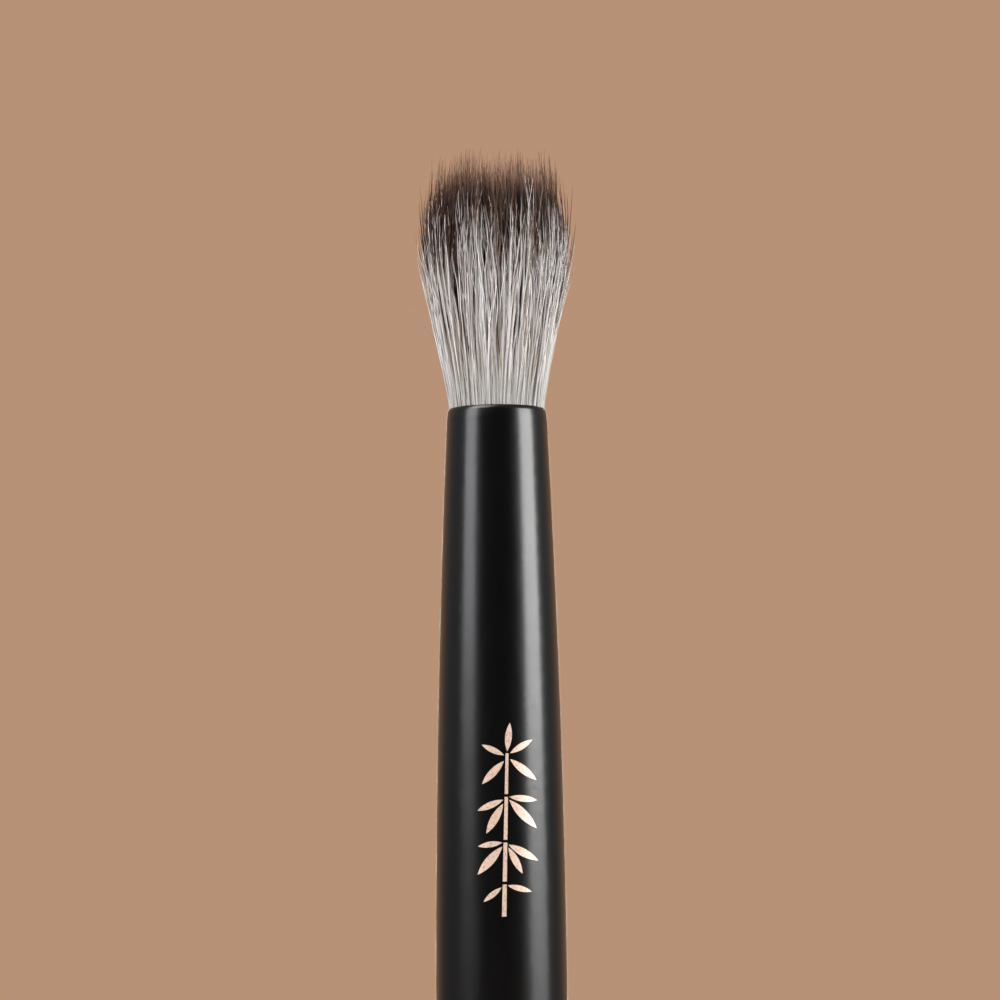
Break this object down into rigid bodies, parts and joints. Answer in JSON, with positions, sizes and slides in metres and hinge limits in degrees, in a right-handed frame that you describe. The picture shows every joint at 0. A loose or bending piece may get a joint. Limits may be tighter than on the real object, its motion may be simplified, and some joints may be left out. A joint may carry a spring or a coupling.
{
  "type": "calligraphy brush",
  "caption": "Calligraphy brush: blunt flared tuft of pale dark-tipped hair that flexes, in a glossy black tapered handle with a foil sprig.",
  "frame": {"origin": "centre of the hanging hole in the tail cap, on the brush's axis", "axes": "+Z along the brush from tail to hair tips, +Y along the hanging hole away from the foil sprig, +X to the sprig's right"},
  "size_m": [0.0146, 0.0146, 0.2299],
  "materials": {
    "sleeve_lacquer": "thin-walled black sleeve, deep polished gloss",
    "shaft_lacquer": "turned wood under black gloss lacquer",
    "cap_lacquer": "black, polished gloss",
    "foil": "hot-stamped rose-gold foil, lightly speckled",
    "mantle_hair": "pale silvery hair with a dark band below soft brown tips",
    "belly_hair": "grey-white hair with dark tips",
    "core_hair": "brown spring hair",
    "bound_hair": "pale hair pressed tight",
    "thread": "waxed undyed thread",
    "fused_resin": "dark amber resin with singed hair ends",
    "glue": "set amber glue"
  },
  "bodies": {
    "handle": {"sleeve": "sleeve_lacquer", "shaft": "shaft_lacquer", "tenon_glue": "glue", "tail_cap": "cap_lacquer", "cap_glue": "glue", "glue_bed": "glue", "root_plug": "fused_resin", "root_binding": "thread", "hair_root": "bound_hair", "foil_sprig": "foil"},
    "tuft": {"mantle_hairs": "mantle_hair", "belly_hairs": "belly_hair", "core_hairs": "core_hair"}
  },
  "joints": [
    {"name": "tuft_bend", "type": "hinge", "parent": "handle", "child": "tuft", "pos_m": [0, 0, 0.199], "axis": [0, 1, 0], "range_deg": [-30, 30], "stiffness_Nm_per_rad": 0.02}
  ]
}
